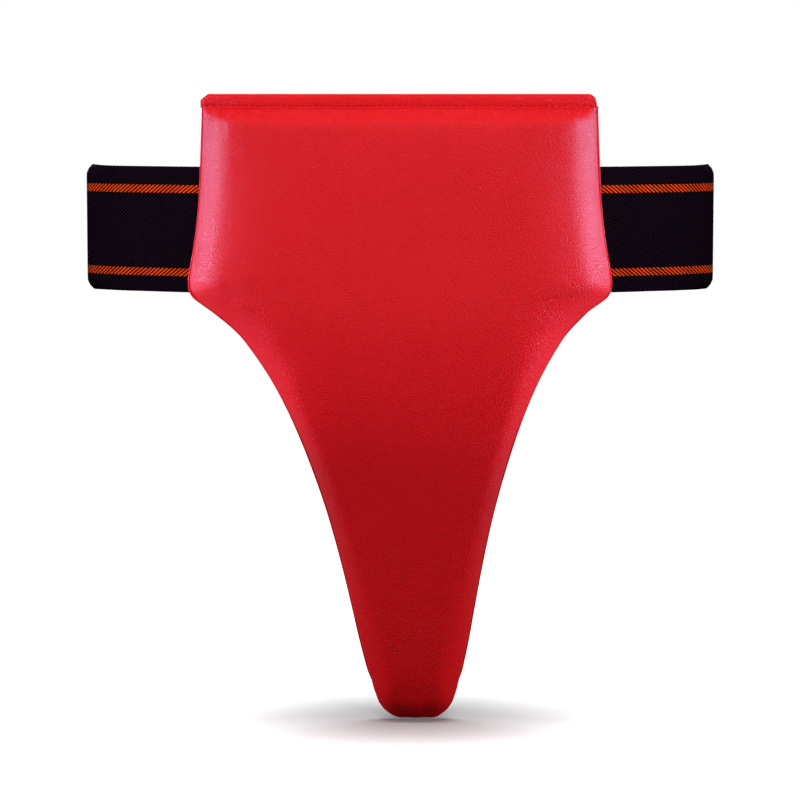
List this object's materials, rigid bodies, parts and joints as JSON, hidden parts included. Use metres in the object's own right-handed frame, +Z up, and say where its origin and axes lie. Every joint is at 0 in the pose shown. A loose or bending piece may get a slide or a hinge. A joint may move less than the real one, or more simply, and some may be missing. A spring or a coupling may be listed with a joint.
{
  "type": "groin protector",
  "caption": "Padded leather-covered groin shield with a tapering tongue, worn on a wide elastic waistband with a hook-and-loop closure and a crotch strap.",
  "frame": {"origin": "on the flat back of the shield, on its upright middle line, level with the middle of the waistband", "axes": "+Z up towards the hem, +Y from the padded front towards the wearer, +X to the viewer's right when the front is looked at"},
  "size_m": [0.3657, 0.1141, 0.3674],
  "materials": {
    "red_leather": "satin",
    "welt_leather": "satin",
    "liner_fabric": "matte",
    "foam": "matte",
    "cup_plastic": "satin",
    "elastic": "matte",
    "loop_pile": "matte",
    "hook_tape": "matte",
    "tab_fabric": "matte"
  },
  "bodies": {
    "shield": {"front_cover": "red_leather", "top_hem": "red_leather", "edge_welt": "welt_leather", "back_liner": "liner_fabric", "front_foam": "foam", "cup_shell": "cup_plastic", "rear_foam": "foam", "crotch_strap": "elastic", "left_band": "elastic", "loop_patch": "loop_pile", "right_band_end": "elastic"},
    "right_wing": {"right_band": "elastic"},
    "closure_tab": {"closure_tab": "tab_fabric", "hook_patch": "hook_tape"}
  },
  "joints": [
    {"name": "right_wing_swing", "type": "hinge", "parent": "shield", "child": "right_wing", "pos_m": [0.12334, 0.00659, 0], "axis": [0, 0, -1], "range_deg": [0, 90]},
    {"name": "closure_tab_peel", "type": "hinge", "parent": "right_wing", "child": "closure_tab", "pos_m": [0.0982, 0.08325, 0], "axis": [0, 0, -1], "range_deg": [0, 120]}
  ]
}
